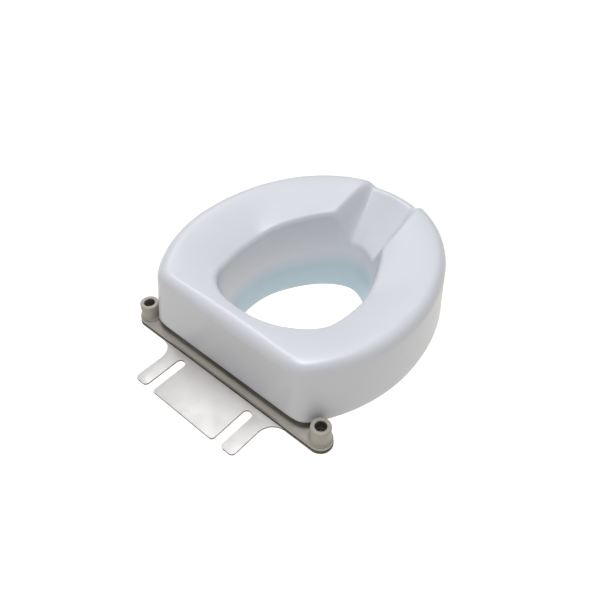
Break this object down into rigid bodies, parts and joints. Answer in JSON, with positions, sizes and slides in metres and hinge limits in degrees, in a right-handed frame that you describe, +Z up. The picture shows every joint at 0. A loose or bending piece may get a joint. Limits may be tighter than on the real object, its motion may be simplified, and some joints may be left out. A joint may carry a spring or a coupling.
{
  "type": "raised toilet seat",
  "caption": "Moulded D-shaped raised toilet seat with a dished top, front scoop and bowl flange, on a slotted bolt-down bracket with arm sockets.",
  "frame": {"origin": "midpoint between the two seat bolts, on the underside of the bracket plate, which is the level of the bowl rim", "axes": "+Z up; +Y back towards the cistern, along the tongue and prongs; +X to the left hand of the seated user"},
  "size_m": [0.416, 0.516, 0.167],
  "materials": {
    "seat_plastic": "glossy moulded polyethylene, cool white",
    "panel_plastic": "matt moulded polyethylene, off-white",
    "nylon": "natural nylon",
    "bumper_rubber": "moulded rubber, dark grey",
    "gasket_rubber": "sheet rubber, dark grey",
    "plate_steel": "satin steel, warm light grey",
    "bar_plastic": "moulded nylon, warm grey",
    "zinc_steel": "zinc-plated steel",
    "peg_steel": "turned stainless steel",
    "insert_brass": "plain brass"
  },
  "bodies": {
    "bracket": {"bracket_plate": "plate_steel", "bar_gasket": "gasket_rubber", "crossbar": "bar_plastic", "left_arm_socket": "bar_plastic", "right_arm_socket": "bar_plastic", "left_socket_screw": "zinc_steel", "right_socket_screw": "zinc_steel", "socket_washers": "zinc_steel", "socket_nuts": "zinc_steel", "left_locating_peg": "peg_steel", "right_locating_peg": "peg_steel", "peg_nuts": "zinc_steel", "bar_inserts": "insert_brass", "bar_screws": "zinc_steel", "rear_rest_pads": "bumper_rubber"},
    "seat": {"seat_shell": "seat_plastic", "base_panel": "panel_plastic", "left_peg_bush": "nylon", "right_peg_bush": "nylon", "front_left_bumper": "bumper_rubber", "front_right_bumper": "bumper_rubber", "side_left_bumper": "bumper_rubber", "side_right_bumper": "bumper_rubber", "bumper_screws": "zinc_steel", "bumper_cup_washers": "zinc_steel"}
  },
  "joints": [
    {"name": "seat_lift_off", "type": "slide", "parent": "bracket", "child": "seat", "axis": [0, 0, 1], "range_m": [0, 0.06]}
  ]
}
